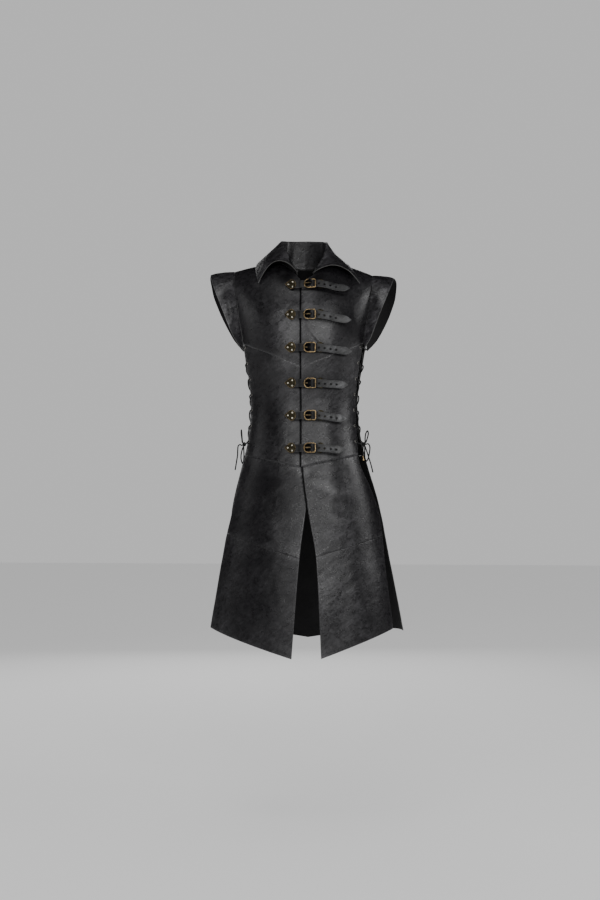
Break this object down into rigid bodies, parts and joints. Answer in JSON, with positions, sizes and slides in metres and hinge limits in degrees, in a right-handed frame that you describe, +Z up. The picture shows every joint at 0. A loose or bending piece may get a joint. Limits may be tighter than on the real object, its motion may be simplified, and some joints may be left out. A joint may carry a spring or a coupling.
{
  "type": "long leather jerkin",
  "caption": "Long sleeveless leather jerkin with turned-down collar, shoulder wings, buckled front straps, laced sides and a skirt split at the front and sides.",
  "frame": {"origin": "centre of the neck opening, level with the shoulder points beside the neck, where the shoulders carry the garment", "axes": "+Z up, -Y the way the wearer faces, +X to the wearer's left"},
  "size_m": [0.5466, 0.4136, 1.1476],
  "materials": {
    "leather": "waxed black, rubbed to grey, satin",
    "strap_leather": "black harness leather, worn along the middle",
    "brass": "antiqued, bright on the raised edges",
    "cord": "waxed round cord, matt"
  },
  "bodies": {
    "root": {"front_chest_right": "leather", "front_chest_left": "leather", "front_waist_right": "leather", "front_waist_left": "leather", "front_skirt_upper_right": "leather", "front_skirt_upper_left": "leather", "front_skirt_lower_right": "leather", "front_skirt_lower_left": "leather", "wing_right": "leather", "wing_left": "leather", "back_bodice": "leather", "back_skirt": "leather", "collar_stand": "leather", "collar_leaf": "leather", "strap_1": "strap_leather", "strap_2": "strap_leather", "strap_3": "strap_leather", "strap_4": "strap_leather", "strap_5": "strap_leather", "strap_6": "strap_leather", "chape_1": "strap_leather", "chape_2": "strap_leather", "chape_3": "strap_leather", "chape_4": "strap_leather", "chape_5": "strap_leather", "chape_6": "strap_leather", "root_plate_1": "brass", "root_plate_2": "brass", "root_plate_3": "brass", "root_plate_4": "brass", "root_plate_5": "brass", "root_plate_6": "brass", "buckle_1": "brass", "buckle_2": "brass", "buckle_3": "brass", "buckle_4": "brass", "buckle_5": "brass", "buckle_6": "brass", "tongue_1": "brass", "tongue_2": "brass", "tongue_3": "brass", "tongue_4": "brass", "tongue_5": "brass", "tongue_6": "brass", "aglet_left": "brass", "lace_right": "cord", "lace_left": "cord", "knot_right": "cord", "knot_left": "cord", "loop_up_right": "cord", "loop_up_left": "cord", "loop_down_right": "cord", "loop_down_left": "cord", "tail_right": "cord", "tail_long_left": "cord", "tail_short_left": "cord"}
  },
  "joints": []
}
